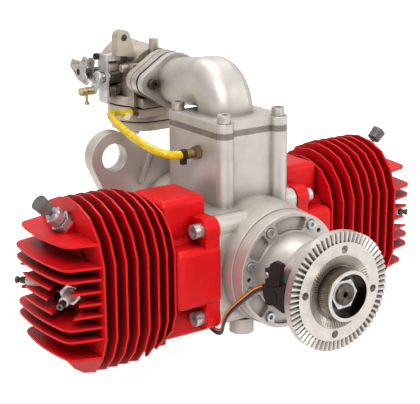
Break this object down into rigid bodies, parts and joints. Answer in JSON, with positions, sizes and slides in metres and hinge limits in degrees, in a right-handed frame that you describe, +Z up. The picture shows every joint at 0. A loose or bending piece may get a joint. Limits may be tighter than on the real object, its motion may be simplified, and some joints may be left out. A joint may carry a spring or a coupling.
{
  "type": "flat twin two-stroke aircraft engine",
  "caption": "Horizontally opposed twin two-stroke engine with finned cylinders, toothed propeller hub, elbow intake, rear carburettor, rear mounting plate and crank sensor.",
  "frame": {"origin": "centre of the propeller flange's front face, on the crank axis", "axes": "crank axis along Y with the propeller side at -Y and the carburettor at +Y, cylinders along X, +Z up to the intake elbow"},
  "size_m": [0.4192, 0.3594, 0.2919],
  "materials": {
    "cast": "as cast, satin",
    "turned": "machined, bright",
    "red_coat": "satin red coat over castings",
    "carb_cast": "die cast, dull",
    "forged": "ground",
    "zinc": "zinc plated",
    "piston_alloy": "turned",
    "brass": "dull",
    "hose": "translucent yellow",
    "black": "moulded",
    "gasket": "matte",
    "ceramic": "glazed",
    "knob": "knurled, dark",
    "magnet": "bright",
    "reed": "thin sheet"
  },
  "bodies": {
    "engine": {"crankcase": "cast", "front_cover": "cast", "front_cover_screws": "zinc", "rear_mount_plate": "cast", "rear_mount_screws": "zinc", "cylinder_left": "red_coat", "cylinder_right": "red_coat", "gaskets": "gasket", "cylinder_bolts": "zinc", "reed_block": "cast", "reed_petals": "reed", "intake_elbow": "cast", "elbow_screws": "zinc", "carb_spacer": "turned", "carb_body": "carb_cast", "pump_body": "carb_cast", "pump_cover": "carb_cast", "carb_diaphragms": "gasket", "carb_cover_screws": "zinc", "carb_mount_screws": "zinc", "throttle_bracket": "zinc", "pulse_fitting": "brass", "pump_barb": "brass", "pulse_hose": "hose", "hose_clip": "black", "spark_plug_shells": "zinc", "spark_plug_insulators": "ceramic", "spark_plug_terminals": "zinc", "decomp_bodies": "zinc", "sensor_holder": "black", "sensor_screws": "zinc", "sensor_lead": "black", "lead_clips": "black", "sensor_connector": "black", "bearing_outer_rings": "forged", "shaft_seals": "gasket"},
    "crank": {"crankshaft_front": "forged", "crankshaft_centre": "forged", "crankshaft_rear": "forged", "crankpins": "forged", "bearing_inner_rings": "forged"},
    "hub": {"prop_hub": "turned", "hub_nut": "zinc", "hub_magnets": "magnet"},
    "rod_left": {"con_rod_left": "forged", "gudgeon_pin_left": "forged"},
    "rod_right": {"con_rod_right": "forged", "gudgeon_pin_right": "forged"},
    "slug_left": {"piston_left": "piston_alloy", "piston_rings_left": "forged"},
    "slug_right": {"piston_right": "piston_alloy", "piston_rings_right": "forged"},
    "button_left": {"decomp_button_left": "knob"},
    "button_right": {"decomp_button_right": "knob"},
    "throttle": {"throttle_shaft": "zinc", "throttle_plate": "brass", "throttle_lever": "zinc"},
    "swivel": {"cable_swivel": "brass"},
    "choke": {"choke_shaft": "zinc", "choke_plate": "brass"}
  },
  "joints": [
    {"name": "crank_turn", "type": "hinge", "parent": "engine", "child": "crank", "pos_m": [0, 0.162, 0], "axis": [0, 1, 0], "range_deg": [0, 180]},
    {"name": "hub_spin", "type": "hinge", "parent": "crank", "child": "hub", "pos_m": [0, 0, 0], "axis": [0, -1, 0], "continuous": true},
    {"name": "rod_left_swing", "type": "hinge", "parent": "crank", "child": "rod_left", "pos_m": [-0.02, 0.1443, 0], "axis": [0, 1, 0], "range_deg": [-181, 1]},
    {"name": "piston_left_slide", "type": "slide", "parent": "engine", "child": "slug_left", "axis": [1, 0, 0], "range_m": [0, 0.0402]},
    {"name": "decomp_left_press", "type": "slide", "parent": "engine", "child": "button_left", "axis": [0.7071, 0, -0.7071], "range_m": [0, 0.003], "stiffness_N_per_m": 800, "springref_m": -0.001},
    {"name": "rod_right_swing", "type": "hinge", "parent": "crank", "child": "rod_right", "pos_m": [0.02, 0.1797, 0], "axis": [0, 1, 0], "range_deg": [-181, 1]},
    {"name": "piston_right_slide", "type": "slide", "parent": "engine", "child": "slug_right", "axis": [-1, 0, 0], "range_m": [0, 0.0402]},
    {"name": "decomp_right_press", "type": "slide", "parent": "engine", "child": "button_right", "axis": [-0.7071, 0, -0.7071], "range_m": [0, 0.003], "stiffness_N_per_m": 800, "springref_m": -0.001},
    {"name": "throttle_turn", "type": "hinge", "parent": "engine", "child": "throttle", "pos_m": [-0.02, 0.305, 0.1415], "axis": [-1, 0, 0], "range_deg": [0, 75], "stiffness_Nm_per_rad": 0.03, "springref_deg": -17.19},
    {"name": "cable_swivel_turn", "type": "hinge", "parent": "throttle", "child": "swivel", "pos_m": [-0.055, 0.314, 0.1275], "axis": [1, 0, 0], "range_deg": [-80, 80]},
    {"name": "choke_turn", "type": "hinge", "parent": "engine", "child": "choke", "pos_m": [-0.02, 0.332, 0.1415], "axis": [-1, 0, 0], "range_deg": [0, 75]}
  ],
  "couplings": [
    {"joint": "rod_left_swing", "follows": "crank_turn", "ratio": -1},
    {"joint": "piston_left_slide", "follows": "crank_turn", "m_per_rad": 0.01273},
    {"joint": "rod_right_swing", "follows": "crank_turn", "ratio": -1},
    {"joint": "piston_right_slide", "follows": "crank_turn", "m_per_rad": 0.01273}
  ]
}
